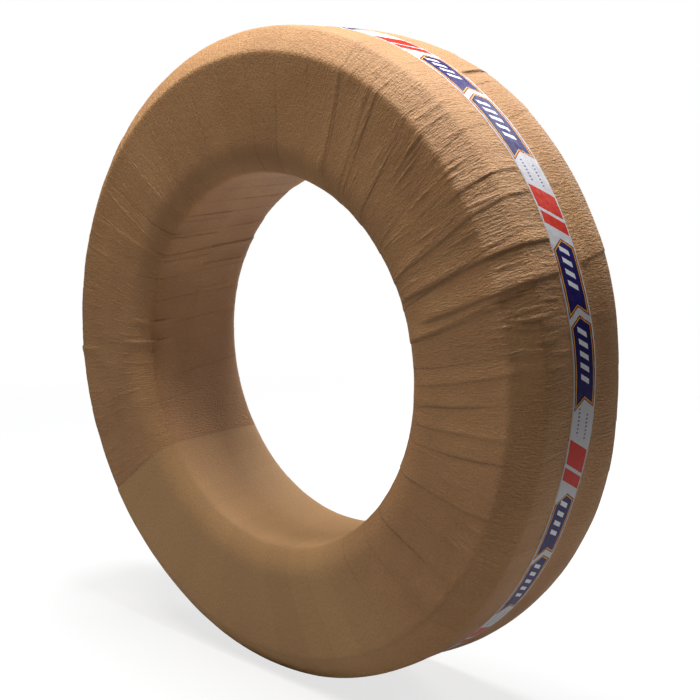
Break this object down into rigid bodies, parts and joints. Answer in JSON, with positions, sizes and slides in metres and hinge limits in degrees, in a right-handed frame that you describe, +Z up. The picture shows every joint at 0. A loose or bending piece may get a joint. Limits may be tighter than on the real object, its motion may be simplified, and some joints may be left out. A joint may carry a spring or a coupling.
{
  "type": "multilayer pipe coil",
  "caption": "Upright ring-shaped coil of multilayer water pipe, wrapped all over in brown crepe paper, with one printed tape round its rim and an open bore.",
  "frame": {"origin": "on the floor under the middle of the coil, at the lowest line of its rim", "axes": "+Z up, +Y along the coil's axis from its front end to its back end, +X across the coil"},
  "size_m": [0.781, 0.178, 0.7809],
  "materials": {
    "pipe": "smooth white polyethylene",
    "crepe_paper": "matt brown crepe kraft paper, wound in overlapping turns",
    "printed_tape": "glossy pale grey film printed in blue, orange and red"
  },
  "bodies": {
    "root": {"pipe_coil": "pipe", "paper_wrap": "crepe_paper", "label_tape": "printed_tape"}
  },
  "joints": []
}
